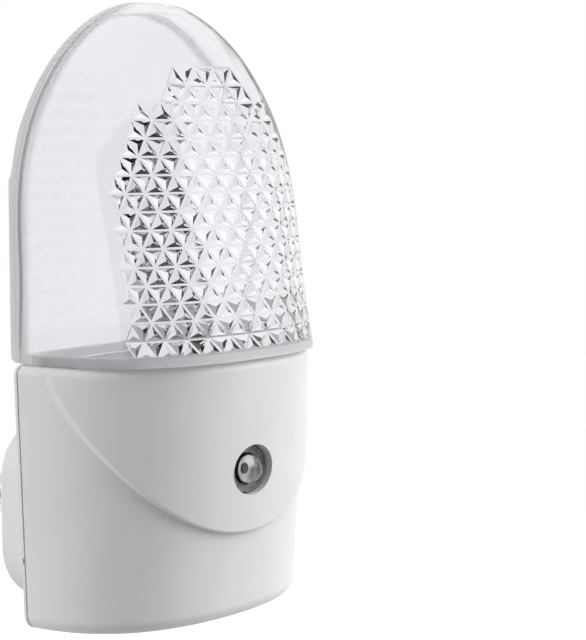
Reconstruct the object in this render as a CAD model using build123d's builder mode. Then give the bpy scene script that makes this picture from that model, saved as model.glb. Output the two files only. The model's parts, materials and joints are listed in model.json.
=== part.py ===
"""Plug in night light: a bowed white housing with a light sensor and a clear arched shade.

Millimetres, +Z up, front towards -Y. The origin is the centre of the plug block's end face,
between the two blades, where the light bears on the wall outlet.
"""

from build123d import *
import math
import os
from collections import Counter
from itertools import combinations

# Overall form -----------------------------------------------------------------------------
block_depth = 12.0  # end face of the plug block to the back of the shade and of the housing's form
housing_height = 39.75
blade_height_above_base = 15.0  # blade centre line above the housing's lower end
upper_half_width = 27.5  # of the housing at its deck
side_taper = 1.5  # how much less it is at the lower end
upper_bow = 24.0  # back of the rear cover to the crown of the front, at the deck
front_taper = 2.8
bow_fullness = 0.66  # Bezier handle share: 0.55 is an ellipse, more is squarer
wall = 1.8

# Housing details --------------------------------------------------------------------------
cover_recess = 0.7  # rear cover in front of the back of the shade
rim_thickness = 0.5  # of the rear cover at its edge
cover_thickness = 1.2
seam = 0.25  # shadow line between the housing and the rear cover
top_edge_radius = 1.4
base_edge_radius = 2.4
bib_side_gap = 0.6  # raised bib on the front, an ellipse hung from just above the deck
bib_drop = 26.5
bib_hang = 0.25
bib_lower_proud = 0.6
bib_middle_proud = 0.8
bib_upper_proud = 0.15
bib_middle_drop = 14.75
bib_edge_radius = 0.35
pry_notch_height = 0.9
pry_notch_reach = 0.9
pry_notch_depth = 0.3
pry_notch_rise = 10.5  # above the housing's lower end

# Shade ------------------------------------------------------------------------------------
shade_height = 54.05
shade_side_step = 0.2  # deck's side to the flange round the shade's back
shade_straight = 22.7  # height of the straight sides below the arch
shade_arch_power = 0.59
shade_overhang = 0.9  # of the shade's front over the deck's
shade_nose_rise = 0.7
shade_nose_fall = 3.8
shade_fullness = 0.73  # Bezier handle share of its sections
shade_wall = 1.2
shade_gap = 0.2  # shade to deck
shade_stations = 10
flange_step = 0.7  # flange proud of the dome at the sides
flange_thickness = 1.2
foot_height = 1.3
foot_width = 1.2  # how far the foot stands in from the wall
tab_width = 6.0
tab_thickness = 1.5
tab_inset = 1.7  # tab's middle to the inside of the wall
tab_reach = 5.0
tab_root = 1.2
tab_set_forward = 7.0
tab_clearance = 0.35
spigot_height = 1.4
spigot_thickness = 1.2
spigot_clearance = 0.4

# Prisms inside the shade: a field of three-sided pits between ridges ----------------------
prism_row_pitch = 2.66
prism_column_turn = 11.4  # degrees: columns are equal turns about an upright axis
prism_axis_gap = 5.1  # how much nearer that axis the columns lie than the flange's side
prism_depth = 0.75
prism_floor = 0.05  # pit bottoms above the wall's inner face
prism_bed = 0.45  # how deep the field is rooted in the wall
ridge_share = 0.2  # of a cell's span left as flat ridge round its pit
field_side_gap = 6.55  # field's outline to the shade's
field_top_gap = 9.2
field_foot_gap = 0.95
field_straight = 24.5  # height of the field's straight sides above the deck

# Plug -------------------------------------------------------------------------------------
block_width = 37.7
block_height = 28.2
block_radius = 8.9
block_draft = 2.0
block_wall = 1.8
block_end = 2.4
block_edge_radius = 1.0
blade_spacing = 12.7
blade_thickness = 1.5
blade_width = 6.35
blade_length = 17.5
blade_tip_chamfer = 0.5
blade_hole_radius = 1.6
blade_hole_from_face = 11.9
shoulder_width = 9.0
shoulder_thickness = 3.0
shoulder_height = 1.0
blade_tab_width = 3.0
blade_tab_thickness = 0.8
blade_tab_length = 5.0
retainer_width = 24.0
retainer_height = 12.0
retainer_thickness = 1.6
retainer_radius = 2.0
stake_spacing = 19.4
stake_radius = 1.0
stake_head_radius = 1.7
stake_head_height = 0.6
fit_clearance = 0.03

# Screws and the joint between the housings ------------------------------------------------
screw_side_gap = 6.1
screw_drop = 7.15
screw_radius = 1.0
screw_length = 7.0
screw_head_radius = 2.0
screw_head_height = 1.0
screw_recess_radius = 2.3
screw_boss_radius = 2.7
screw_boss_length = 7.4
cover_boss_height = 1.4
drive_width = 0.5
drive_span = 2.4
drive_depth = 0.5
lip_height = 1.6
lip_thickness = 1.1
lip_clearance = 0.25

# Circuit board and what it carries --------------------------------------------------------
board_setback = 11.4  # back of the rear cover to the board's rear face
board_thickness = 1.2
board_side_gap = 6.4  # board's side to the housing's, at the lower end
board_lower_gap = 3.0
board_upper_gap = 6.15
board_clearance = 0.05
ledge_overlap = 1.4
ledge_thickness = 1.4
post_side_gap = 2.0
post_lower_gap = 4.0
post_upper_gap = 6.6
post_radius = 1.4
sensor_drop = 16.75  # below the deck
window_half_width = 4.6
window_half_height = 3.85
lens_radius = 2.3
lens_setback = 0.85  # lens shoulder behind the crown of the front
lens_body_length = 4.3
lens_flange_radius = 2.8
lens_flange_height = 0.8
holder_setback = 2.3
window_clearance = 0.3  # holder to the edge of the window
lamp_spacing = 14.0
lamp_radius = 2.5
lamp_body_length = 5.0
lamp_flange_radius = 2.9
lamp_flange_height = 1.0
lamp_rise = 2.4  # lamp's flange above the board
lamp_forward = 2.6  # lamp's axis in front of the board
lamp_hole_clearance = 0.35
lamp_lead_drop = 6.0
lead_thickness = 0.5
lead_spacing = 2.54
film_capacitor_width = 13.0
film_capacitor_depth = 6.0
film_capacitor_height = 11.0
film_capacitor_across = -8.6
tall_row_drop = 9.6  # capacitors and transistor below the board's top
film_capacitor_radius = 0.8
smoothing_capacitor_radius = 3.15
smoothing_capacitor_length = 8.0
smoothing_capacitor_across = 4.4
transistor_radius = 2.3
transistor_flat = 1.2
transistor_length = 4.8
transistor_standoff = 2.0
transistor_across = 12.0
diode_radius = 1.3
diode_length = 4.6
diode_count = 4
diode_pitch = 3.1
diode_rise = 1.2  # lowest one above the board's lower edge
zener_radius = 1.0
zener_length = 3.8
zener_across = 12.0
zener_drop = 16.0
resistor_radius = 1.2
resistor_length = 6.2
resistor_half_spacing = 14.0
resistor_rise = 5.0
fuse_resistor_radius = 1.6
fuse_resistor_length = 8.0
fuse_resistor_drop = 18.2
axial_lead_radius = 0.35
axial_lead_reach = 1.6
wire_radius = 0.6
wire_half_spacing = 9.6  # where the wires meet the board
wire_rise = 6.4
wire_bend_radius = 2.4

# Derived widths ---------------------------------------------------------------------------
lower_half_width = upper_half_width - side_taper
lower_bow = upper_bow - front_taper
shade_half_width = upper_half_width - shade_side_step
dome_half_width = shade_half_width - flange_step
dome_bow = upper_bow + shade_overhang
board_half_width = lower_half_width - board_side_gap

# Derived planes ---------------------------------------------------------------------------
base = -blade_height_above_base
deck = base + housing_height
back = -block_depth
cover_back = back - cover_recess
rim_front = cover_back - rim_thickness
cover_front = cover_back - cover_thickness
housing_back = rim_front - seam
shade_base = deck + shade_gap
apex = deck + shade_height
board_back = back - board_setback
board_front = board_back - board_thickness
retainer_back = -block_end - shoulder_height
recess_floor = cover_front
screw_boss_back = cover_front - cover_boss_height
flange_front = back - flange_thickness
board_bottom = base + board_lower_gap
board_top = deck - board_upper_gap
sensor_level = deck - sensor_drop
bib_middle = deck - bib_middle_drop
tall_row = board_top - tall_row_drop


def between(lower, upper, level):
    """Value at a level of what changes evenly from the housing's lower end to its deck."""
    return lower + (upper - lower) * (level - base) / housing_height


def front_plane(y):
    """Sketch plane square to Y, with X across and Z up: extrusions run to the front."""
    return Plane((0, y, 0), x_dir=(1, 0, 0), z_dir=(0, -1, 0))


def bow_section(half_width, bow, fullness=bow_fullness):
    """D-shaped section: straight along the back plane, bowed to the front in two curves."""
    handle_across = half_width * fullness
    handle_forward = bow * fullness
    left, middle, right = (-half_width, back), (0, back - bow), (half_width, back)
    with BuildSketch() as section:
        with BuildLine():
            Bezier(left, (-half_width, back - handle_forward), (-handle_across, back - bow), middle)
            Bezier(middle, (handle_across, back - bow), (half_width, back - handle_forward), right)
            Line(right, left)
        make_face()
    return section.sketch


def housing_section(level, inset):
    """Section of the housing at a level, drawn in by an inset."""
    half_width = between(lower_half_width, upper_half_width, level) - inset
    return bow_section(half_width, between(lower_bow, upper_bow, level) - inset)


def housing_form(inset, lower, upper):
    """Tapered D-shaped block of the housing between two levels, drawn in by an inset."""
    with BuildPart() as form:
        for level in (lower, upper):
            with BuildSketch(Plane.XY.offset(level)):
                add(housing_section(level, inset))
        loft()
    return form.part


def arch_share(level, springing, top, power=0.5):
    """Share of its full width that an arch on straight sides has at a level."""
    return (1 - (max(level - springing, 0) / (top - springing)) ** 2) ** power


def dome_reach(level, inset):
    """Half width and bow of the shade's dome at a level, drawn in by an inset.

    The half width follows straight sides and then an arch. The bow follows the centre
    profile (1 - rise**p)**(1/q), where rise runs from 0 at the deck to 1 at the top.
    """
    top = apex - inset
    share = arch_share(level, deck + shade_straight, top, shade_arch_power)
    fall = ((level - deck) / (top - deck)) ** shade_nose_rise
    return (dome_half_width - inset) * share, (dome_bow - inset) * (1 - fall) ** (1 / shade_nose_fall)


def dome_section(inset):
    """Section of the dome at its foot, drawn in by an inset."""
    return bow_section(dome_half_width - inset, dome_bow - inset, shade_fullness)


def dome_form(inset):
    """Block of the shade's dome, drawn in by an inset: an arch from the front, bowed in plan."""
    top = apex - inset
    sections = []
    for station in range(shade_stations):
        share = math.sin(math.pi / 2 * station / shade_stations)
        level = shade_base + (top - shade_base) * share
        section = bow_section(*dome_reach(level, inset), shade_fullness)
        sections.append(Plane.XY.offset(level) * section)
    with BuildPart() as form:
        loft(sections=[*sections, Vertex(0, back, top)])
        split(bisect_by=front_plane(flange_front), keep=Keep.TOP)
    return form.part


def dome_depth(across, half_width, bow):
    """How far a section of the dome stands forward of the back plane at a distance across."""
    low, high = 0.0, 1.0
    for _ in range(30):
        t = (low + high) / 2
        reach = 3 * shade_fullness * t * (1 - t) ** 2 + 3 * t**2 * (1 - t) + t**3
        if reach * half_width < abs(across):
            low = t
        else:
            high = t
    return bow * ((1 - t) ** 3 + 3 * t * (1 - t) ** 2 + 3 * shade_fullness * t**2 * (1 - t))


def field_place(column, row):
    """Distance across and level of a point of the prism field, counted in columns and rows."""
    across = (shade_half_width - prism_axis_gap) * math.sin(column * math.radians(prism_column_turn))
    return across, shade_base + field_foot_gap + row * prism_row_pitch


def in_field(column, row):
    """Whether a point lies within the field's outline: an arch on straight sides."""
    across, level = field_place(column, row)
    top = apex - field_top_gap
    if level > top:
        return False
    share = arch_share(level, deck + field_straight, top)
    return abs(across) < (shade_half_width - field_side_gap) * share


def field_cells():
    """Corners of the field's triangular cells, each as three places in columns and rows."""
    half_columns = math.ceil(90 / prism_column_turn)
    rows = math.floor((apex - shade_base) / prism_row_pitch)
    cells = []
    for row in range(rows):
        for step in range(-2 * half_columns, 2 * half_columns + 1):
            foot, tip = (row, row + 1) if (row + step) % 2 == 0 else (row + 1, row)
            middle = step / 2
            cell = ((middle - 0.5, foot), (middle + 0.5, foot), (middle, tip))
            if all(in_field(*corner) for corner in cell):
                cells.append(cell)
    return cells


def on_inner_wall(column, row, proud):
    """Point of the field, standing proud of the shade's inner wall along the wall's normal."""
    across, level = field_place(column, row)
    step = shade_wall / 100
    depth = dome_depth(across, *dome_reach(level, shade_wall))
    side_fall = (dome_depth(across + step, *dome_reach(level, shade_wall)) - depth) / step
    upward_fall = (dome_depth(across, *dome_reach(level + step, shade_wall)) - depth) / step
    normal = Vector(side_fall, 1, upward_fall).normalized()
    return Vector(across, back - depth, level) + normal * proud


def triangle(*corners):
    """Flat face between three points."""
    return Face(Wire.make_polygon(corners, close=True))


def prism_field():
    """Closed sheet of the field: ridges round three-sided pits, rooted in the shade's wall.

    Corners that only some of their cells' neighbours share lie at the field's edge, where the
    ridges run down to the wall.
    """
    cells = field_cells()
    uses = Counter(corner for cell in cells for corner in cell)
    rims = Counter(frozenset(pair) for cell in cells for pair in combinations(cell, 2))

    def ridge(corner):
        height = prism_floor if uses[corner] < 6 else prism_floor + prism_depth
        return on_inner_wall(*corner, height)

    def bed(corner):
        return on_inner_wall(*corner, -prism_bed)

    faces = []
    for cell in cells:
        corners = [ridge(corner) for corner in cell]
        middle = (corners[0] + corners[1] + corners[2]) / 3
        rim = [corner + (middle - corner) * ridge_share for corner in corners]
        centre = [sum(values) / 3 for values in zip(*cell)]
        pit = on_inner_wall(*centre, prism_floor)
        faces.append(
            Face(Wire.make_polygon(corners, close=True), [Wire.make_polygon(rim, close=True)])
        )
        faces.extend(triangle(rim[i - 1], rim[i], pit) for i in range(3))
        faces.append(triangle(*(bed(corner) for corner in cell)))
        for first, second in combinations(cell, 2):
            if rims[frozenset((first, second))] == 1:
                faces.append(triangle(ridge(first), ridge(second), bed(second)))
                faces.append(triangle(ridge(first), bed(second), bed(first)))
    return Solid(Shell(faces))


def cover_outline(inset=0.0):
    """Outline of the housing's open back, drawn in by an inset."""
    lower, upper = lower_half_width - inset, upper_half_width - inset
    bottom, top = base + inset, deck - inset
    with BuildSketch() as outline:
        with BuildLine():
            Polyline((-lower, bottom), (lower, bottom), (upper, top), (-upper, top), close=True)
        make_face()
        fillet(outline.vertices().group_by(Axis.Y)[0], base_edge_radius)
        fillet(outline.vertices().group_by(Axis.Y)[-1], top_edge_radius)
    return outline.sketch


def flange_outline():
    """Outline of the shade's back: an arch on straight sides with rounded lower corners."""
    springing = deck + shade_straight
    right_side = []
    for station in range(shade_stations):
        level = springing + (apex - springing) * math.sin(math.pi / 2 * station / shade_stations)
        share = arch_share(level, springing, apex, shade_arch_power)
        right_side.append((shade_half_width * share, level))
    left_side = [(-across, level) for across, level in reversed(right_side)]
    with BuildSketch() as outline:
        with BuildLine():
            arch = Spline(*right_side, (0, apex), *left_side, tangents=[(0, 1), (0, -1)])
            Polyline(
                arch @ 1, (-shade_half_width, shade_base), (shade_half_width, shade_base), arch @ 0
            )
        make_face()
        fillet(outline.vertices().group_by(Axis.Y)[0], top_edge_radius)
    return outline.sketch


def rod(start, end, radius):
    """Straight round rod between two points."""
    axis = Vector(end) - Vector(start)
    with BuildPart() as piece:
        with BuildSketch(Plane(start, z_dir=axis)):
            Circle(radius)
        extrude(amount=axis.length)
    return piece.part


def axial_component(radius, length, lead_radius, along):
    """Barrel lying on the board, with a lead at each end bent into it; origin on the board."""
    middle = Vector(0, radius, 0)
    with BuildPart() as piece:
        for side in (-1, 1):
            corner = middle + along * (side * (length / 2 + axial_lead_reach))
            add(rod(middle, corner, lead_radius))
            add(rod(corner, Vector(corner.X, 0, corner.Z), lead_radius))
        add(rod(middle - along * (length / 2), middle + along * (length / 2), radius))
    return piece.part


blade_places = [(-blade_spacing / 2, 0), (blade_spacing / 2, 0)]
stake_places = [(-stake_spacing / 2, 0), (stake_spacing / 2, 0)]
screw_x = upper_half_width - screw_side_gap
screw_level = deck - screw_drop
screw_places = [(-screw_x, screw_level), (screw_x, screw_level)]
post_x = board_half_width - post_side_gap
post_levels = (board_bottom + post_lower_gap, board_top - post_upper_gap)
post_places = [(side * post_x, level) for side in (-1, 1) for level in post_levels]
lamp_y = board_front - lamp_forward
lamp_places = [(-lamp_spacing / 2, lamp_y), (lamp_spacing / 2, lamp_y)]
tab_x = dome_half_width - shade_wall - tab_inset
tab_places = [(-tab_x, back - tab_set_forward), (tab_x, back - tab_set_forward)]
bib_share = (sensor_level - base) / (bib_middle - base)
bib_proud_at_sensor = bib_lower_proud + (bib_middle_proud - bib_lower_proud) * bib_share
crown = back - between(lower_bow, upper_bow, sensor_level) - bib_proud_at_sensor
lens_shoulder = crown + lens_setback
lens_back = lens_shoulder + lens_body_length
holder_front = crown + holder_setback

os.makedirs("parts", exist_ok=True)

# Bib: the raised shield on the front of the housing, under the shade -----------------------
bib_stations = (
    (base, bib_lower_proud),
    (bib_middle, bib_middle_proud),
    (deck, bib_upper_proud),
)
with BuildPart() as bib:
    for level, proud in bib_stations:
        with BuildSketch(Plane.XY.offset(level)):
            add(housing_section(level, -proud))
    loft()
    deck_edges = bib.faces().sort_by(Axis.Z)[-1].edges().sort_by(Axis.Y)[:2]
    fillet(deck_edges, top_edge_radius)
    with BuildSketch(front_plane(housing_back)):
        with Locations((0, deck + bib_hang)):
            Ellipse(upper_half_width - bib_side_gap, bib_drop)
    extrude(amount=2 * dome_bow, mode=Mode.INTERSECT)
    rim = bib.faces().filter_by(lambda face: face.center().Y < housing_back - wall)
    fillet(rim.edges().filter_by(lambda edge: edge.center().Z < deck - wall), bib_edge_radius)

# Inside the housing: ledges that the board's front bears on, and the screw bosses ----------
ledge_back = board_front - board_clearance
with BuildPart() as inner_ribs:
    with BuildSketch(front_plane(ledge_back)):
        Rectangle(4 * upper_half_width, 4 * housing_height)
        Rectangle(2 * (board_half_width - ledge_overlap), 4 * housing_height, mode=Mode.SUBTRACT)
    extrude(amount=ledge_thickness)
    with BuildSketch(front_plane(screw_boss_back - board_clearance)):
        with Locations(screw_places):
            Circle(screw_boss_radius)
        for side in (-1, 1):
            with Locations((side * (screw_x + screw_boss_radius), screw_level)):
                Rectangle(2 * screw_boss_radius, screw_boss_radius)
    extrude(amount=screw_boss_length)
    add(housing_form(wall / 2, base + wall / 2, deck - wall / 2), mode=Mode.INTERSECT)

# Front housing ----------------------------------------------------------------------------
with BuildPart() as front_housing:
    add(housing_form(0, base, deck))
    fillet(front_housing.faces().sort_by(Axis.Z)[-1].edges().sort_by(Axis.Y)[:2], top_edge_radius)
    fillet(front_housing.faces().sort_by(Axis.Z)[0].edges().sort_by(Axis.Y)[:2], base_edge_radius)
    add(bib.part)
    add(housing_form(wall, base + wall, deck - wall), mode=Mode.SUBTRACT)
    add(inner_ribs.part)
    split(bisect_by=front_plane(housing_back), keep=Keep.TOP)
    # Spigot that keys into the shade's foot.
    spigot_inset = shade_wall + foot_width + spigot_clearance
    with BuildSketch(Plane.XY.offset(deck)):
        add(dome_section(spigot_inset))
        add(dome_section(spigot_inset + spigot_thickness), mode=Mode.SUBTRACT)
        with Locations((0, back)):
            Rectangle(
                2 * shade_half_width, 2 * (back - housing_back + spigot_clearance), mode=Mode.SUBTRACT
            )
    extrude(amount=spigot_height)
    # Slots for the shade's tabs, cut on into the inside of the wall.
    with BuildSketch(Plane.XY.offset(deck - tab_reach - tab_clearance)):
        with Locations(tab_places):
            Rectangle(tab_thickness + 2 * tab_clearance, tab_width + 2 * tab_clearance)
    extrude(amount=tab_reach + 2 * spigot_height, mode=Mode.SUBTRACT)
    # Lamp holes in the deck.
    with BuildSketch(Plane.XY.offset(deck)):
        with Locations(lamp_places):
            Circle(lamp_radius + lamp_hole_clearance)
    extrude(amount=-2 * wall, mode=Mode.SUBTRACT)
    # Window for the light sensor.
    with BuildSketch(front_plane(board_front)):
        with Locations((0, sensor_level)):
            Ellipse(window_half_width, window_half_height)
    extrude(amount=dome_bow, mode=Mode.SUBTRACT)
    # Pilot holes in the screw bosses.
    with BuildSketch(front_plane(housing_back)):
        with Locations(screw_places):
            Circle(screw_radius + fit_clearance)
    extrude(amount=screw_length + cover_boss_height, mode=Mode.SUBTRACT)
front_housing.part.label = "front_housing"
export_step(front_housing.part, "parts/front_housing.step")

# Rear cover with the hollow plug block ----------------------------------------------------
with BuildPart() as rear_cover:
    with BuildSketch(front_plane(cover_back)):
        add(cover_outline())
    extrude(amount=rim_thickness)
    with BuildSketch(front_plane(rim_front)):
        add(cover_outline(wall + lip_clearance))
    extrude(amount=cover_thickness - rim_thickness)
    with BuildSketch(front_plane(0)):
        RectangleRounded(block_width, block_height, block_radius)
    extrude(amount=-cover_back, taper=-block_draft)
    fillet(rear_cover.faces().sort_by(Axis.Y)[-1].edges(), block_edge_radius)
    with BuildSketch(front_plane(cover_front)):
        add(cover_outline(wall + lip_clearance))
        add(cover_outline(wall + lip_clearance + lip_thickness), mode=Mode.SUBTRACT)
        with Locations(screw_places):
            Rectangle(
                4 * screw_boss_radius, 2 * (screw_boss_radius + lip_clearance), mode=Mode.SUBTRACT
            )
    extrude(amount=lip_height)
    with BuildSketch(front_plane(cover_front)):
        with Locations(screw_places):
            Circle(screw_boss_radius)
    extrude(amount=cover_boss_height)
    with BuildSketch(front_plane(cover_front)):
        with Locations(post_places):
            Circle(post_radius)
    extrude(amount=cover_front - board_back - board_clearance)
    with BuildSketch(front_plane(-block_end)):
        RectangleRounded(
            block_width - 2 * block_wall, block_height - 2 * block_wall, block_radius - block_wall
        )
    extrude(amount=-block_end - cover_front, taper=-block_draft, mode=Mode.SUBTRACT)
    with BuildSketch(front_plane(-block_end)):
        with Locations(stake_places):
            Circle(stake_radius)
    extrude(amount=shoulder_height + retainer_thickness)
    with BuildSketch(front_plane(retainer_back - retainer_thickness)):
        with Locations(stake_places):
            Circle(stake_head_radius)
    extrude(amount=stake_head_height, taper=20)
    with BuildSketch(front_plane(0)):
        with Locations(blade_places):
            Rectangle(blade_thickness + 2 * fit_clearance, blade_width + 2 * fit_clearance)
    extrude(amount=block_end, mode=Mode.SUBTRACT)
    with BuildSketch(front_plane(cover_back)):
        with Locations(screw_places):
            Circle(screw_radius + lip_clearance)
    extrude(amount=cover_thickness + cover_boss_height, mode=Mode.SUBTRACT)
    with BuildSketch(front_plane(cover_back)):
        with Locations(screw_places):
            Circle(screw_recess_radius)
    extrude(amount=cover_thickness, mode=Mode.SUBTRACT)
    with BuildSketch(front_plane(rim_front)):
        notch_level = base + pry_notch_rise
        with Locations((-between(lower_half_width, upper_half_width, notch_level), notch_level)):
            Rectangle(2 * pry_notch_reach, pry_notch_height)
    extrude(amount=-pry_notch_depth, mode=Mode.SUBTRACT)
rear_cover.part.label = "rear_cover"
export_step(rear_cover.part, "parts/rear_cover.step")

# Blades, one each side --------------------------------------------------------------------
for name, place in zip(("blade_left", "blade_right"), blade_places):
    with BuildPart() as blade:
        with BuildSketch(front_plane(blade_length)):
            with Locations(place):
                Rectangle(blade_thickness, blade_width)
        extrude(amount=blade_length + block_end)
        chamfer(blade.faces().sort_by(Axis.Y)[-1].edges(), blade_tip_chamfer)
        with BuildSketch(Plane((place[0], blade_hole_from_face, 0), z_dir=(1, 0, 0))):
            Circle(blade_hole_radius)
        extrude(amount=blade_thickness, both=True, mode=Mode.SUBTRACT)
        with BuildSketch(front_plane(-block_end)):
            with Locations(place):
                Rectangle(shoulder_thickness, shoulder_width)
        extrude(amount=shoulder_height)
        with BuildSketch(front_plane(retainer_back)):
            with Locations(place):
                Rectangle(blade_tab_thickness, blade_tab_width)
        extrude(amount=blade_tab_length)
    blade.part.label = name
    export_step(blade.part, f"parts/{name}.step")

# Retainer staked over the blades' shoulders -----------------------------------------------
with BuildPart() as blade_retainer:
    with BuildSketch(front_plane(retainer_back)):
        RectangleRounded(retainer_width, retainer_height, retainer_radius)
        with Locations(blade_places):
            Rectangle(
                blade_tab_thickness + 2 * fit_clearance,
                blade_tab_width + 2 * fit_clearance,
                mode=Mode.SUBTRACT,
            )
        with Locations(stake_places):
            Circle(stake_radius + fit_clearance, mode=Mode.SUBTRACT)
    extrude(amount=retainer_thickness)
blade_retainer.part.label = "blade_retainer"
export_step(blade_retainer.part, "parts/blade_retainer.step")

# Lead wires from the blade tabs to the board ----------------------------------------------
for name, side in (("lead_wire_left", -1), ("lead_wire_right", 1)):
    tab_end = retainer_back - blade_tab_length
    across, level = wire_half_spacing, board_bottom + wire_rise
    with BuildPart() as lead_wire:
        with BuildLine() as route:
            FilletPolyline(
                (side * blade_spacing / 2, tab_end, 0),
                (side * blade_spacing / 2, back, 0),
                (side * across, (back + board_back) / 2, level),
                (side * across, board_back, level),
                radius=wire_bend_radius,
            )
        with BuildSketch(Plane(route.line @ 0, z_dir=route.line % 0)):
            Circle(wire_radius)
        sweep()
    lead_wire.part.label = name
    export_step(lead_wire.part, f"parts/{name}.step")

# Screws that hold the rear cover ----------------------------------------------------------
with BuildPart() as assembly_screws:
    with BuildSketch(front_plane(recess_floor)):
        with Locations(screw_places):
            Circle(screw_head_radius)
    extrude(amount=-screw_head_height)
    with BuildSketch(front_plane(recess_floor)):
        with Locations(screw_places):
            Circle(screw_radius)
    extrude(amount=screw_length)
    with BuildSketch(front_plane(recess_floor + screw_head_height)):
        with Locations(screw_places):
            Rectangle(drive_span, drive_width)
            Rectangle(drive_width, drive_span)
    extrude(amount=drive_depth, mode=Mode.SUBTRACT)
assembly_screws.part.label = "assembly_screws"
export_step(assembly_screws.part, "parts/assembly_screws.step")

# Circuit board ----------------------------------------------------------------------------
with BuildPart() as circuit_board:
    with BuildSketch(front_plane(board_back)):
        with Locations((0, (board_bottom + board_top) / 2)):
            RectangleRounded(2 * board_half_width, board_top - board_bottom, 1.0)
    extrude(amount=board_thickness)
circuit_board.part.label = "circuit_board"
export_step(circuit_board.part, "parts/circuit_board.step")

# Lamps that shine up into the shade -------------------------------------------------------
for name, (across, forward) in zip(("led_left", "led_right"), lamp_places):
    flange = board_top + lamp_rise
    shoulder = flange + lamp_body_length
    with BuildPart() as lamp:
        with BuildSketch(Plane((across, forward, flange))):
            Circle(lamp_flange_radius)
        extrude(amount=lamp_flange_height)
        with BuildSketch(Plane((across, forward, flange))):
            Circle(lamp_radius)
        extrude(amount=lamp_body_length)
        with Locations((across, forward, shoulder)):
            Sphere(lamp_radius, arc_size1=0)
        for side in (-1, 1):
            top = (across + side * lead_spacing / 2, forward, flange)
            bend = (top[0], forward, flange - lamp_lead_drop)
            add(rod(top, bend, lead_thickness / 2))
            add(rod(bend, (bend[0], board_front, bend[2]), lead_thickness / 2))
    lamp.part.label = name
    export_step(lamp.part, f"parts/{name}.step")

# Light sensor behind the window -----------------------------------------------------------
with BuildPart() as light_sensor:
    with BuildSketch(front_plane(lens_back)):
        with Locations((0, sensor_level)):
            Circle(lens_radius)
    extrude(amount=lens_body_length)
    with BuildSketch(front_plane(lens_back)):
        with Locations((0, sensor_level)):
            Circle(lens_flange_radius)
    extrude(amount=lens_flange_height)
    with Locations((0, lens_shoulder, sensor_level)):
        Sphere(lens_radius, rotation=(90, 0, 0), arc_size1=0)
    for side in (-1, 1):
        start = (side * lead_spacing / 2, lens_back, sensor_level)
        add(rod(start, (start[0], board_front, sensor_level), lead_thickness / 2))
light_sensor.part.label = "light_sensor"
export_step(light_sensor.part, "parts/light_sensor.step")

# Holder that stands the sensor off the board ----------------------------------------------
with BuildPart() as sensor_holder:
    with BuildSketch(front_plane(board_front)):
        with Locations((0, sensor_level)):
            Ellipse(window_half_width - window_clearance, window_half_height - window_clearance)
            Circle(lens_radius + fit_clearance, mode=Mode.SUBTRACT)
    extrude(amount=board_front - holder_front)
    with BuildSketch(front_plane(board_front)):
        with Locations((0, sensor_level)):
            Circle(lens_flange_radius + fit_clearance)
    extrude(amount=board_front - lens_back + lens_flange_height + fit_clearance, mode=Mode.SUBTRACT)
sensor_holder.part.label = "sensor_holder"
export_step(sensor_holder.part, "parts/sensor_holder.step")

# Capacitors and transistor on the back of the board ---------------------------------------
with BuildPart() as film_capacitor:
    with BuildSketch(front_plane(board_back)):
        with Locations((film_capacitor_across, tall_row)):
            RectangleRounded(film_capacitor_width, film_capacitor_height, film_capacitor_radius)
    extrude(amount=-film_capacitor_depth)
    fillet(film_capacitor.faces().sort_by(Axis.Y)[-1].edges(), film_capacitor_radius)
film_capacitor.part.label = "film_capacitor"
export_step(film_capacitor.part, "parts/film_capacitor.step")

with BuildPart() as smoothing_capacitor:
    with BuildSketch(front_plane(board_back)):
        with Locations((smoothing_capacitor_across, tall_row)):
            Circle(smoothing_capacitor_radius)
    extrude(amount=-smoothing_capacitor_length)
    fillet(smoothing_capacitor.faces().sort_by(Axis.Y)[-1].edges(), wire_radius)
smoothing_capacitor.part.label = "smoothing_capacitor"
export_step(smoothing_capacitor.part, "parts/smoothing_capacitor.step")

with BuildPart() as transistor:
    with BuildSketch(front_plane(board_back + transistor_standoff)):
        with Locations((transistor_across, tall_row)):
            Circle(transistor_radius)
        with Locations((transistor_across, tall_row - transistor_flat - transistor_radius)):
            Rectangle(2 * transistor_radius, 2 * transistor_radius, mode=Mode.SUBTRACT)
    extrude(amount=-transistor_length)
    with BuildSketch(front_plane(board_back)):
        for step in (-1, 0, 1):
            with Locations((transistor_across + step * lead_spacing / 2, tall_row)):
                Rectangle(lead_thickness, lead_thickness)
    extrude(amount=-transistor_standoff)
transistor.part.label = "transistor"
export_step(transistor.part, "parts/transistor.step")

# Axial components lying on the back of the board ------------------------------------------
diode = axial_component(diode_radius, diode_length, axial_lead_radius, Vector(1, 0, 0))
with BuildPart() as rectifier_diodes:
    for row in range(diode_count):
        with Locations((0, board_back, board_bottom + diode_rise + row * diode_pitch)):
            add(diode)
rectifier_diodes.part.label = "rectifier_diodes"
export_step(rectifier_diodes.part, "parts/rectifier_diodes.step")

zener = axial_component(zener_radius, zener_length, axial_lead_radius, Vector(1, 0, 0))
with BuildPart() as zener_diode:
    with Locations((zener_across, board_back, board_top - zener_drop)):
        add(zener)
zener_diode.part.label = "zener_diode"
export_step(zener_diode.part, "parts/zener_diode.step")

resistor = axial_component(resistor_radius, resistor_length, axial_lead_radius, Vector(0, 0, 1))
with BuildPart() as resistors:
    for side in (-1, 1):
        with Locations((side * resistor_half_spacing, board_back, board_bottom + resistor_rise)):
            add(resistor)
resistors.part.label = "resistors"
export_step(resistors.part, "parts/resistors.step")

fuse = axial_component(fuse_resistor_radius, fuse_resistor_length, axial_lead_radius, Vector(1, 0, 0))
with BuildPart() as fusible_resistor:
    with Locations((film_capacitor_across, board_back, board_top - fuse_resistor_drop)):
        add(fuse)
fusible_resistor.part.label = "fusible_resistor"
export_step(fusible_resistor.part, "parts/fusible_resistor.step")

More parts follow.
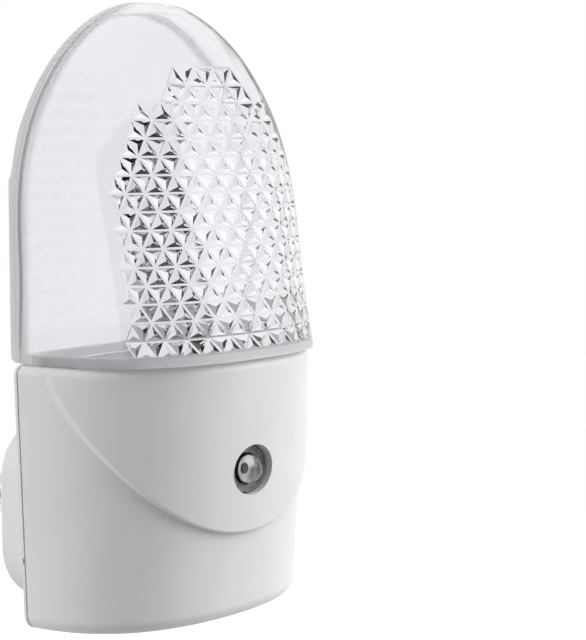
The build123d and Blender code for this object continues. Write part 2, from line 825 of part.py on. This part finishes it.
# Shade: one clear moulding, open below -----------------------------------------------------
with BuildPart() as shade:
    add(dome_form(0))
    add(dome_form(shade_wall), mode=Mode.SUBTRACT)
    add(prism_field())
    # Foot band inside the lower edge.
    with BuildSketch(Plane.XY.offset(shade_base)):
        add(dome_section(shade_wall / 2))
        add(dome_section(shade_wall + foot_width), mode=Mode.SUBTRACT)
        with Locations((0, back)):
            Rectangle(2 * shade_half_width, 2 * flange_thickness, mode=Mode.SUBTRACT)
    extrude(amount=foot_height)
    # Tabs that reach down into the slots of the deck.
    with BuildSketch(Plane.XY.offset(shade_base - tab_reach)):
        with Locations(tab_places):
            Rectangle(tab_thickness, tab_width)
    extrude(amount=tab_reach + tab_root)
    # Flange and back wall.
    with BuildSketch(front_plane(back)):
        add(flange_outline())
    extrude(amount=flange_thickness)
shade.part.label = "shade"
export_step(shade.part, "parts/shade.step")
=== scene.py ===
import json
import math

import bmesh
import bpy
import numpy as np
from mathutils import Matrix, Vector


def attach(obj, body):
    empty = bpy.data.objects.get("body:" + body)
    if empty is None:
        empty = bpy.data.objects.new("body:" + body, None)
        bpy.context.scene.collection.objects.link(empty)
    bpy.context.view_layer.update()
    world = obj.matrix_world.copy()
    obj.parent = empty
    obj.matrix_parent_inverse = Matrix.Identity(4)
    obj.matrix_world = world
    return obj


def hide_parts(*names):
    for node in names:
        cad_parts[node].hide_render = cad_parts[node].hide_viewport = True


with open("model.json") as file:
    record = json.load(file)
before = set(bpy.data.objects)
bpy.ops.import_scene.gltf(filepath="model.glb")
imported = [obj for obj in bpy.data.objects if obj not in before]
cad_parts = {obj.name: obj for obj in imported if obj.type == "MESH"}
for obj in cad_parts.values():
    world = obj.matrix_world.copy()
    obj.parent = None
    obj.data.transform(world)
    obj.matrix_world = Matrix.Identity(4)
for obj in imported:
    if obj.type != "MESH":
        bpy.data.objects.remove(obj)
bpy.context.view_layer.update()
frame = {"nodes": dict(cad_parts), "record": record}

MM = 0.001

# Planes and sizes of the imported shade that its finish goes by
flange_front = -13.2 * MM
foot_top = 26.25 * MM
springing, apex = 47.45 * MM, 78.8 * MM  # where the arch starts and ends
flange_half_width = 27.3 * MM
arch_power = 0.59


# Camera: where it stands, what it looks along, and its lens ---------------------------------
camera_place = Vector((-0.2254, -0.2183, 0.0578))
camera_forward = Vector((0.7862, 0.6109, -0.0931)).normalized()
camera_roll = math.radians(-0.12)
camera_focal_pixels = 1942.36
picture_height = 640  # pixels, which the film's width spans in an upright picture
film_width = 36.0
near_limit, far_limit = 0.01, 50.0

level_right = camera_forward.cross(Vector((0, 0, 1))).normalized()
level_up = level_right.cross(camera_forward)
right = level_right * math.cos(camera_roll) + level_up * math.sin(camera_roll)
up = right.cross(camera_forward)
camera_turn = Matrix((right, up, -camera_forward)).transposed().to_4x4()
camera_data = bpy.data.cameras.new("camera")
camera_data.sensor_width = film_width
camera_data.lens = camera_focal_pixels * film_width / picture_height
camera_data.clip_start, camera_data.clip_end = near_limit, far_limit
camera = bpy.data.objects.new("camera", camera_data)
camera.matrix_world = Matrix.Translation(camera_place) @ camera_turn
bpy.context.scene.collection.objects.link(camera)
bpy.context.scene.camera = camera


# Shader maths -------------------------------------------------------------------------------
class Socket:
    """A shader socket of a node tree, on which arithmetic adds Math nodes."""

    def __init__(self, tree, socket=None):
        self.tree, self.socket = tree, socket

    def node(self, kind, settings=None, inputs=None, out=0):
        """Adds a node: its settings first, then its inputs' values or links; returns an output."""
        made = self.tree.nodes.new(kind)
        for name, value in (settings or {}).items():
            setattr(made, name, value)
        for name, value in (inputs or {}).items():
            if isinstance(value, Socket):
                self.tree.links.new(value.socket, made.inputs[name])
            else:
                made.inputs[name].default_value = value
        return Socket(self.tree, made.outputs[out])

    def math(self, operation, *values):
        """A Math node on numbers or sockets."""
        return self.node("ShaderNodeMath", {"operation": operation}, dict(enumerate(values)))

    def __add__(self, other):
        return self.math("ADD", self, other)

    def __radd__(self, other):
        return self.math("ADD", other, self)

    def __sub__(self, other):
        return self.math("SUBTRACT", self, other)

    def __rsub__(self, other):
        return self.math("SUBTRACT", other, self)

    def __mul__(self, other):
        return self.math("MULTIPLY", self, other)

    def __rmul__(self, other):
        return self.math("MULTIPLY", other, self)

    def __truediv__(self, other):
        return self.math("DIVIDE", self, other)

    def __rtruediv__(self, other):
        return self.math("DIVIDE", other, self)

    def __pow__(self, other):
        return self.math("POWER", self, other)

    def __rpow__(self, other):
        return self.math("POWER", other, self)

    def __abs__(self):
        return self.math("ABSOLUTE", self)

    def at_least(self, other):
        """The greater of this and a number or socket."""
        return self.math("MAXIMUM", self, other)

    def step(self, start, end):
        """Smooth rise from 0 at start to 1 at end."""
        settings = {"interpolation_type": "SMOOTHSTEP"}
        inputs = {"Value": self, "From Min": start, "From Max": end}
        return self.node("ShaderNodeMapRange", settings, inputs)

    def mix(self, first, second):
        """Colour that goes from first to second as this factor goes from 0 to 1."""
        inputs = {"Factor": self, 6: colour(*first), 7: colour(*second)}
        return self.node("ShaderNodeMix", {"data_type": "RGBA"}, inputs, out=2)

    def ray_is(self, kind):
        """1 on rays of a kind, such as Camera or Glossy, and 0 on the others."""
        return self.node("ShaderNodeLightPath", out=f"Is {kind} Ray")


def colour(red, green, blue):
    """A colour with full alpha."""
    return (red, green, blue, 1.0)


class Finish:
    """A material whose patterns read Object coordinates, filled in by a finish function."""

    def __init__(self, name):
        self.material = bpy.data.materials.new(name)
        self.material.use_nodes = True
        self.tree = self.material.node_tree
        self.tree.nodes.clear()
        self.start = Socket(self.tree)
        self.node = self.start.node
        self.place = self.node("ShaderNodeTexCoord", out="Object")

    def along(self, axis):
        """One coordinate of the place on the object, in metres."""
        return self.node("ShaderNodeSeparateXYZ", None, {"Vector": self.place}, out=axis)

    def stretched(self, *scales):
        """The place, scaled along each axis."""
        inputs = {0: self.place, 1: scales}
        return self.node("ShaderNodeVectorMath", {"operation": "MULTIPLY"}, inputs)

    def noise(self, size, detail, vector=None):
        """Noise from about 0.2 to 0.8 whose patches are about size metres across."""
        inputs = {"Vector": vector or self.place, "Scale": 1 / size, "Detail": detail}
        return self.node("ShaderNodeTexNoise", None, inputs)

    def bump(self, height, depth):
        """A bumped normal from a height of 0 to 1 and a depth in metres."""
        return self.node("ShaderNodeBump", None, {"Height": height, "Distance": depth})

    def principled(self, **inputs):
        """A Principled shader with these inputs, named as its sockets are but in small letters."""
        sockets = {
            name.replace("_", " ").title().replace("Ior", "IOR"): value
            for name, value in inputs.items()
        }
        return self.node("ShaderNodeBsdfPrincipled", None, sockets)

    def finish(self, surface):
        """Links a shader to the output; returns the material."""
        output = self.tree.nodes.new("ShaderNodeOutputMaterial")
        self.tree.links.new(surface.socket, output.inputs["Surface"])
        return self.material


# Finishes -----------------------------------------------------------------------------------
def satin_white_plastic(name, tint):
    """Moulded white plastic: fine spark-eroded grain, faint clouding, duller in patches."""
    cloud_size, cloud_gain = 9 * MM, 1.03
    grain_size, grain_depth = 0.16 * MM, 0.012 * MM
    f = Finish(name)
    cloud = f.noise(cloud_size, 3.0)
    grain = f.noise(grain_size, 2.0)
    return f.finish(f.principled(
        base_color=cloud.step(0.3, 0.7).mix(tint, [cloud_gain * part for part in tint]),
        roughness=0.36 + 0.10 * cloud + 0.06 * grain,
        specular_ior_level=0.5,
        normal=f.bump(grain, grain_depth),
    ))


def clear_plastic():
    """Clear moulding: polished, with faint flow lines up its wall and milky at its edges, where the
    milk also paints in light that the edges catch.

    The milk is on the flange's rim, where |x / half width| ** (1 / power) + rise ** 2 is over
    about 0.9, and on the foot band, where it is thinner at the left end, painting shade there.
    """
    plastic_ior = 1.5
    flow_size, flow_stretch, flow_depth = 6 * MM, (1.0, 1.0, 0.25), 0.05 * MM
    flange_start, flange_end = flange_front - 1.9 * MM, flange_front - 0.7 * MM
    arch_start, arch_end = 0.86, 0.91
    foot_start, foot_end = foot_top - 0.1 * MM, foot_top + 0.3 * MM
    # Milk shares: the white milk on the rim and foot band is partly painted light, and the band's
    # lesser milk at its left end is painted shade
    left_shade_end, right_light_start = -24 * MM, -18 * MM
    rim_milk_and_light, left_band_milk_painted_shade, right_band_milk_and_light, wall_milk = 0.72, 0.35, 0.80, 0.005

    f = Finish("clear_plastic")
    flow = f.noise(flow_size, 1.0, f.stretched(*flow_stretch))
    glass = f.principled(
        base_color=flow.mix((0.90, 0.905, 0.925), (0.915, 0.92, 0.937)),
        roughness=0.01 + 0.03 * flow,
        ior=plastic_ior,
        transmission_weight=1.0,
        normal=f.bump(flow, flow_depth),
    )
    # White milk for the edges: partly a real haze, partly painted light on the flange's rim and the
    # foot band
    milk_and_light_surface = f.principled(
        base_color=flow.mix((0.92, 0.94, 0.95), (0.95, 0.96, 0.97)),
        roughness=0.25,
    )
    milk_and_light_inside = f.node("ShaderNodeBsdfTranslucent", None, {"Color": colour(0.95, 0.97, 0.98)})
    milk = f.node("ShaderNodeMixShader", None, {0: 0.5, 1: milk_and_light_surface, 2: milk_and_light_inside})

    rise = (f.along("Z") - springing).at_least(0.0) / (apex - springing)
    arch = (abs(f.along("X")) / flange_half_width) ** (1 / arch_power) + rise * rise
    flange = f.along("Y").step(flange_start, flange_end) * arch.step(arch_start, arch_end)
    foot = 1.0 - f.along("Z").step(foot_start, foot_end)
    # Foot band's milk, less at the left end: painted shade there, painted light further right
    band_milk_and_light = left_band_milk_painted_shade + (right_band_milk_and_light - left_band_milk_painted_shade) * f.along("X").step(left_shade_end, right_light_start)
    share = (flange * rim_milk_and_light).at_least(foot * band_milk_and_light) + wall_milk
    return f.finish(f.node("ShaderNodeMixShader", None, {0: share, 1: glass, 2: milk}))


def clear_resin(name, tint):
    """Cast resin: clear, with a faint ripple."""
    resin_ior = 1.53
    ripple_size, ripple_depth, ripple_loss = 1.5 * MM, 0.01 * MM, 0.97
    f = Finish(name)
    ripple = f.noise(ripple_size, 1.0)
    return f.finish(f.principled(
        base_color=ripple.mix(tint, [ripple_loss * part for part in tint]),
        roughness=0.02 + 0.04 * ripple,
        ior=resin_ior,
        transmission_weight=1.0,
        normal=f.bump(ripple, ripple_depth),
    ))


def metal(name, tint, dull, streak, rough):
    """Plated or rolled metal: fine streaks along one axis and patches of tarnish."""
    streak_size, streak_depth, patch_size = 0.3 * MM, 0.006 * MM, 2.5 * MM
    f = Finish(name)
    lines = f.noise(streak_size, 2.0, f.stretched(*streak))
    patch = f.noise(patch_size, 3.0).step(0.45, 0.7)
    return f.finish(f.principled(
        base_color=patch.mix(tint, dull),
        metallic=1.0,
        roughness=rough + 0.12 * lines + 0.10 * patch,
        normal=f.bump(lines, streak_depth),
    ))


def coated(name, tint, second, patch_size, rough):
    """Dipped, moulded or laminated insulator: two close shades in patches and a fine grain."""
    grain_size, grain_depth = 0.25 * MM, 0.01 * MM
    f = Finish(name)
    patches = f.noise(patch_size * MM, 3.0).step(0.35, 0.65)
    grain = f.noise(grain_size, 2.0)
    return f.finish(f.principled(
        base_color=patches.mix(tint, second),
        roughness=rough + 0.12 * grain,
        normal=f.bump(grain, grain_depth),
    ))


# Metals: tint, tarnished tint, scale of the streaks along each axis, roughness
metals = {
    "plated_metal": ((0.80, 0.78, 0.72), (0.66, 0.62, 0.54), (1.0, 0.08, 1.0), 0.18),
    "screw_steel": ((0.62, 0.63, 0.65), (0.48, 0.48, 0.50), (1.0, 1.0, 0.1), 0.28),
}
# Coatings: tint, second tint, size of its patches in mm, roughness
coatings = {
    "retainer_board": ((0.78, 0.75, 0.68), (0.70, 0.67, 0.60), 1.2, 0.55),
    "board_laminate": ((0.50, 0.33, 0.14), (0.42, 0.27, 0.11), 2.0, 0.45),
    "holder_plastic": ((0.27, 0.27, 0.27), (0.15, 0.15, 0.15), 0.9, 0.36),
    "film_capacitor_case": ((0.60, 0.38, 0.06), (0.54, 0.33, 0.05), 1.5, 0.30),
    "capacitor_sleeve": ((0.03, 0.03, 0.04), (0.045, 0.045, 0.055), 2.0, 0.22),
    "black_epoxy": ((0.03, 0.03, 0.03), (0.05, 0.05, 0.05), 0.8, 0.48),
    "zener_glass": ((0.62, 0.20, 0.08), (0.50, 0.15, 0.06), 0.6, 0.08),
    "resistor_coating": ((0.64, 0.48, 0.26), (0.58, 0.43, 0.23), 0.9, 0.40),
    "fuse_coating": ((0.22, 0.30, 0.42), (0.18, 0.26, 0.38), 0.9, 0.50),
    "wire_insulation_black": ((0.02, 0.02, 0.02), (0.035, 0.035, 0.035), 0.8, 0.35),
    "wire_insulation_white": ((0.80, 0.80, 0.78), (0.74, 0.74, 0.72), 0.8, 0.35),
}
finishes = {
    "housing_plastic": satin_white_plastic("housing_plastic", (0.86, 0.855, 0.865)),
    "cover_plastic": satin_white_plastic("cover_plastic", (0.87, 0.87, 0.875)),
    "clear_plastic": clear_plastic(),
    "lamp_resin": clear_resin("lamp_resin", (0.97, 0.97, 0.95)),
    "sensor_resin": clear_resin("sensor_resin", (0.94, 0.96, 0.97)),
}
finishes.update({name: metal(name, *row) for name, row in metals.items()})
finishes.update({name: coated(name, *row) for name, row in coatings.items()})

slot_of = {part["node"]: part["material_slot"] for part in frame["record"]["subparts"]}
for name, node in frame["nodes"].items():
    for material_slot in node.material_slots:
        material_slot.material = finishes[slot_of[name]]


# Pieces that the solids leave out: the holder's front rim and what the sensor's resin holds ---
lens_middle = np.array([0.0, -34.6, 8.0]) * MM  # middle of the lens's dome


def turned_piece(name, slot, inner, outer, profile, poles=None, aside=0.0, count=96):
    """Closed surface about an axis along Y through the lens's middle or aside from it, in mm.

    The point at a profile's row and a turn t is (a cos t, depth, b sin t). The row holds its
    share of the way from the inner to the outer ellipse, which gives the half sizes a and b, and
    its depth behind the middle. The profile closes on itself, or else ends at two poles on the
    axis, given by their depths.
    """
    share, depth = np.array(profile).T
    turn = np.linspace(0, 2 * math.pi, count, endpoint=False)
    half_sizes = np.array(inner) + np.subtract(outer, inner) * share[:, None]
    across = half_sizes[:, :1] * np.cos(turn)
    height = half_sizes[:, 1:] * np.sin(turn)
    behind = np.broadcast_to(depth[:, None], across.shape)
    points = np.stack([across, behind, height], axis=-1).reshape(-1, 3)

    rows = len(share)
    bands = rows if poles is None else rows - 1
    row, column = np.meshgrid(np.arange(bands), np.arange(count), indexing="ij")
    this, below = row * count, (row + 1) % rows * count
    after = (column + 1) % count
    corners = [this + column, this + after, below + after, below + column]
    faces = np.stack(corners, axis=-1).reshape(-1, 4).tolist()
    if poles is not None:
        points = np.concatenate([points, [[0.0, pole, 0.0] for pole in poles]])
        around = np.arange(count)
        for pole, first in enumerate((0, (rows - 1) * count)):
            tip = np.full(count, rows * count + pole)
            fan = np.stack([tip, first + around, first + (around + 1) % count], axis=1)
            faces += fan.tolist()

    mesh = bpy.data.meshes.new(name)
    mesh.from_pydata(((points + [aside, 0.0, 0.0]) * MM + lens_middle).tolist(), [], faces)
    shell = bmesh.new()
    shell.from_mesh(mesh)
    bmesh.ops.recalc_face_normals(shell, faces=shell.faces)
    shell.to_mesh(mesh)
    shell.free()
    mesh.materials.append(finishes[slot])
    piece = bpy.data.objects.new(name, mesh)
    bpy.context.scene.collection.objects.link(piece)
    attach(piece, "lamp_body")
    return piece


# Sizes in mm. A depth is counted from the lens's middle backward
rim_bore, rim_edge = (2.6, 2.5), (4.28, 3.53)  # half sizes of the rim's ellipses
rim_profile = [
    (0.0, 1.25), (0.0, 0.6), (0.06, 0.5), (0.66, 0.42), (0.72, 0.22),
    (0.80, 0.15), (0.94, 0.15), (1.0, 0.22), (1.0, 1.25),
]
lens_radius, lens_back = 2.1, 4.15
foot_radius, foot_thickness, foot_bevel = 2.75, 0.8, 0.05
dome_rings, first_ring = 24, 0.06  # the first ring's angle from the tip, in radians
lead_radius, lead_half_spacing, lead_back = 0.25, 1.27, 9.98
lead_front = lens_back + 0.02
cup_radius, cup_floor, cup_back = 1.95, 0.55, 0.8
cup_profile = [(0.5, cup_floor), (0.88, 0.50), (0.98, 0.35), (1.02, 0.37), (1.02, cup_back)]
die_radius, die_front, die_back = 0.5, 0.42, 0.53
die_profile = [(0.95, die_front), (1.0, 0.45), (1.0, die_back)]
axis_point, unit_circle = (0.0, 0.0), (1.0, 1.0)

turned_piece("holder_rim", "holder_plastic", rim_bore, rim_edge, rim_profile)

ring = np.linspace(first_ring, math.pi / 2, dome_rings)
foot_front = lens_back - foot_thickness
lens_profile = np.concatenate([
    np.stack([lens_radius * np.sin(ring), -lens_radius * np.cos(ring)], axis=1),
    [(lens_radius, foot_front - foot_bevel), (foot_radius, foot_front), (foot_radius, lens_back)],
])
sensor_lens = turned_piece(
    "sensor_lens", "sensor_resin", axis_point, unit_circle, lens_profile,
    poles=(-lens_radius, lens_back),
)
corner_counts = np.empty(len(sensor_lens.data.polygons), dtype=np.int32)
sensor_lens.data.polygons.foreach_get("loop_total", corner_counts)
sensor_lens.data.polygons.foreach_set("use_smooth", corner_counts == 4)
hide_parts("light_sensor")

for name, side in (("sensor_lead_left", -1), ("sensor_lead_right", 1)):
    turned_piece(
        name, "screw_steel", axis_point, (lead_radius, lead_radius),
        [(1.0, lead_front), (1.0, lead_back)],
        poles=(lead_front, lead_back), aside=side * lead_half_spacing, count=24,
    )
turned_piece(
    "sensor_cup", "screw_steel", axis_point, (cup_radius, cup_radius), cup_profile,
    poles=(cup_floor, cup_back),
)
turned_piece(
    "sensor_die", "black_epoxy", axis_point, (die_radius, die_radius), die_profile,
    poles=(die_front, die_back),
)


# Studio: floor and world, which gives all the light ------------------------------------------
floor_level = -95 * MM
floor_radius, floor_sides = 0.5, 96


def pale_floor():
    """Pale matt floor, seen at full white where no shadow falls, also in gloss and through glass.

    The glow is added on camera, glossy and transmission rays only, so it lights no matt surface.
    """
    mottle_size, glow_strength = 0.25, 0.90
    f = Finish("pale_floor")
    tint = f.noise(mottle_size, 2.0).mix((0.36, 0.36, 0.36), (0.38, 0.38, 0.38))
    diffuse = f.node("ShaderNodeBsdfDiffuse", None, {"Color": tint})
    glow_inputs = {"Color": colour(1, 1, 1), "Strength": glow_strength}
    glow = f.node("ShaderNodeEmission", None, glow_inputs)
    both = f.node("ShaderNodeAddShader", None, {0: diffuse, 1: glow})
    seen, mirrored = f.start.ray_is("Camera"), f.start.ray_is("Glossy")
    glowing = seen.at_least(mirrored).at_least(f.start.ray_is("Transmission"))
    return f.finish(f.node("ShaderNodeMixShader", None, {0: glowing, 1: diffuse, 2: both}))


turn = np.linspace(0, 2 * math.pi, floor_sides, endpoint=False)
edge = [floor_radius * np.cos(turn), floor_radius * np.sin(turn), np.full(floor_sides, floor_level)]
floor_mesh = bpy.data.meshes.new("floor")
floor_mesh.from_pydata(np.stack(edge, axis=1).tolist(), [], [tuple(range(floor_sides))])
floor_mesh.materials.append(pale_floor())
floor = bpy.data.objects.new("floor", floor_mesh)
bpy.context.scene.collection.objects.link(floor)

world = bpy.data.worlds.new("studio")
world.use_nodes = True
world.node_tree.nodes.clear()
sky = Socket(world.node_tree)
bearing = sky.node("ShaderNodeTexCoord", out="Generated")


def direction(azimuth, elevation):
    """Unit vector at an azimuth from +X towards +Y and an elevation, in degrees."""
    turn, rise = math.radians(azimuth), math.radians(elevation)
    level = math.cos(rise)
    return Vector((math.cos(turn) * level, math.sin(turn) * level, math.sin(rise)))


def along_bearing(vector):
    """How far the bearing goes along a vector."""
    inputs = {0: bearing, 1: tuple(vector)}
    return sky.node("ShaderNodeVectorMath", {"operation": "DOT_PRODUCT"}, inputs, out="Value")


def soft_lobe(azimuth, elevation, narrowness):
    """Brightness exp(narrowness * (cosine - 1)) round a direction."""
    cosine = along_bearing(direction(azimuth, elevation))
    return sky.math("EXPONENT", (cosine - 1.0) * narrowness)


def dark_card(azimuth, elevation, half_width, half_height, soft):
    """1 within a flat card across a direction, its half sizes in degrees, and 0 outside it."""
    ahead = direction(azimuth, elevation)
    across = ahead.cross(Vector((0, 0, 1))).normalized()
    above = across.cross(ahead)
    inside = along_bearing(ahead).step(0.0, 0.05)
    for side, half in ((across, half_width), (above, half_height)):
        slope = abs(along_bearing(side) / along_bearing(ahead))
        inside = inside * (math.tan(math.radians(half)) - slope).step(-soft, soft)
    return inside


# Matt surfaces see three soft lobes, and gloss and glass see white with a dark card before it
key_light = 6.3 * soft_lobe(azimuth=-38, elevation=25, narrowness=11)
back_light = 4.8 * soft_lobe(azimuth=148, elevation=20, narrowness=14)
top_light = 0.9 * soft_lobe(azimuth=-120, elevation=70, narrowness=5)
ambient = key_light + back_light + top_light
card_darkness = 0.97
card = dark_card(azimuth=-98, elevation=10, half_width=41, half_height=28, soft=0.04)
reflected = 1.0 - card_darkness * card
seen = sky.ray_is("Camera")
shiny = sky.ray_is("Glossy").at_least(sky.ray_is("Transmission"))
strength = seen + (1.0 - seen) * (shiny * reflected + (1.0 - shiny) * ambient)
background_inputs = {"Color": colour(1, 1, 1), "Strength": strength}
background = sky.node("ShaderNodeBackground", None, background_inputs)
sky_output = world.node_tree.nodes.new("ShaderNodeOutputWorld")
world.node_tree.links.new(background.socket, sky_output.inputs["Surface"])
bpy.context.scene.world = world

bpy.context.scene.view_settings.view_transform = "Standard"
